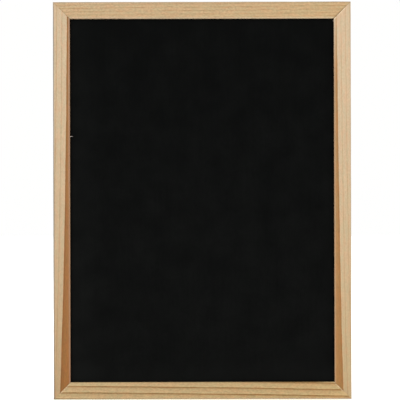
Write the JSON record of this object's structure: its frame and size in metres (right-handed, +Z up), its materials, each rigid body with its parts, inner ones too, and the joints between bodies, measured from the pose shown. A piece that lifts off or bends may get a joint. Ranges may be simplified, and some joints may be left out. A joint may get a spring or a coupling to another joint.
{
  "type": "magnetic chalkboard",
  "caption": "Magnetic chalkboard: matt black coated steel panel in a mitred, rebated pine frame, with sawtooth hangers on the back for hanging upright or on its side.",
  "frame": {"origin": "the point that the wall's nail carries: the top of the middle notch of the upper hanger, in the plane of the frame's back", "axes": "+Z up when the board hangs upright, -Y out of the writing face, +Y towards the wall, +X to the right as the board is read"},
  "size_m": [0.3, 0.0163, 0.4],
  "materials": {
    "pine": "planed and sanded, unvarnished",
    "chalk_coating": "dead matt black enamel on steel sheet",
    "hardboard": "pressed fibre, screen-textured back",
    "bright_zinc": "bright zinc-plated steel",
    "plain_steel": "plain steel, slightly dull"
  },
  "bodies": {
    "root": {"frame_top_rail": "pine", "frame_bottom_rail": "pine", "frame_left_stile": "pine", "frame_right_stile": "pine", "writing_sheet": "chalk_coating", "core_board": "hardboard", "hanger_top": "bright_zinc", "hanger_left": "bright_zinc", "hanger_nail_top_1": "bright_zinc", "hanger_nail_top_2": "bright_zinc", "hanger_nail_left_1": "bright_zinc", "hanger_nail_left_2": "bright_zinc", "retaining_point_top_1": "plain_steel", "retaining_point_top_2": "plain_steel", "retaining_point_bottom_1": "plain_steel", "retaining_point_bottom_2": "plain_steel", "retaining_point_left_1": "plain_steel", "retaining_point_left_2": "plain_steel", "retaining_point_left_3": "plain_steel", "retaining_point_right_1": "plain_steel", "retaining_point_right_2": "plain_steel", "retaining_point_right_3": "plain_steel", "v_nail_top_left_outer": "plain_steel", "v_nail_top_left_inner": "plain_steel", "v_nail_top_right_outer": "plain_steel", "v_nail_top_right_inner": "plain_steel", "v_nail_bottom_right_outer": "plain_steel", "v_nail_bottom_right_inner": "plain_steel", "v_nail_bottom_left_outer": "plain_steel", "v_nail_bottom_left_inner": "plain_steel"}
  },
  "joints": []
}
